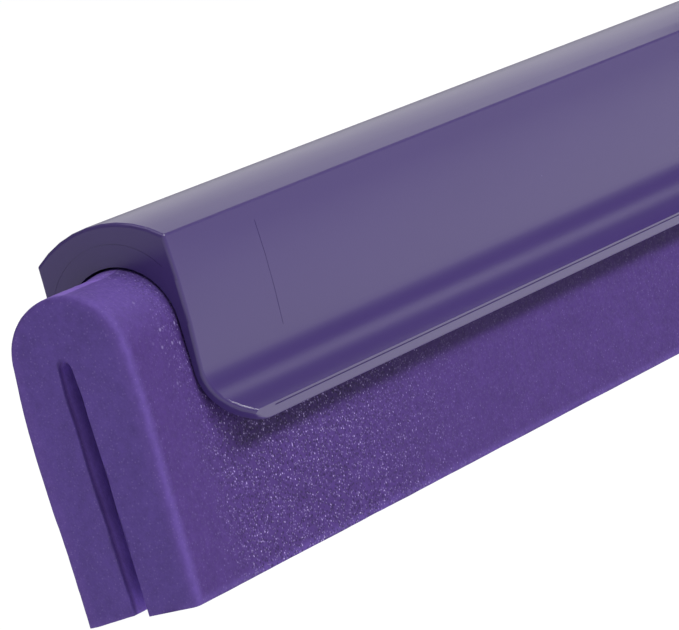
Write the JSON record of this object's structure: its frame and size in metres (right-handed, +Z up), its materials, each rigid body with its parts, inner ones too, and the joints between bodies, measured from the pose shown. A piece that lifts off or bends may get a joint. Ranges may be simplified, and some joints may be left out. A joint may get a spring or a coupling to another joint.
{
  "type": "floor squeegee head",
  "caption": "Double-blade floor squeegee head: a plastic hood with flared lips over a folded foam blade that slides out endways, under a revolving handle neck.",
  "frame": {"origin": "on the floor line, midway along the blade and midway between its two edges, directly below the neck's pivot", "axes": "+X along the blade, +Y across it away from the leaning handle, +Z up from the floor"},
  "size_m": [0.505, 0.0728, 0.1415],
  "materials": {
    "hood_plastic": "smooth satin moulded polypropylene",
    "neck_plastic": "smooth satin moulded polypropylene",
    "bush_plastic": "natural white acetal",
    "spine_plastic": "natural polypropylene",
    "foam": "fine closed-cell foam rubber with a skin",
    "seal_rubber": "black rubber",
    "pin_steel": "stainless",
    "screw_steel": "stainless",
    "washer_steel": "stainless",
    "insert_brass": "knurled brass"
  },
  "bodies": {
    "hood": {"hood": "hood_plastic", "turret": "hood_plastic", "pivot_bush": "bush_plastic", "seal_ring": "seal_rubber"},
    "cassette": {"foam_blade": "foam", "spine_strip": "spine_plastic", "spine_pins": "pin_steel"},
    "neck": {"neck": "neck_plastic", "thread_insert": "insert_brass", "pivot_screw": "screw_steel", "lock_washer": "washer_steel", "retaining_washer": "washer_steel", "wave_washer": "washer_steel", "handle_screw": "screw_steel"}
  },
  "joints": [
    {"name": "cassette_slide", "type": "slide", "parent": "hood", "child": "cassette", "axis": [1, 0, 0], "range_m": [-0.5, 0.5]},
    {"name": "neck_turn", "type": "hinge", "parent": "hood", "child": "neck", "pos_m": [0, 0, 0.0605], "axis": [0, 0, 1], "continuous": true}
  ]
}
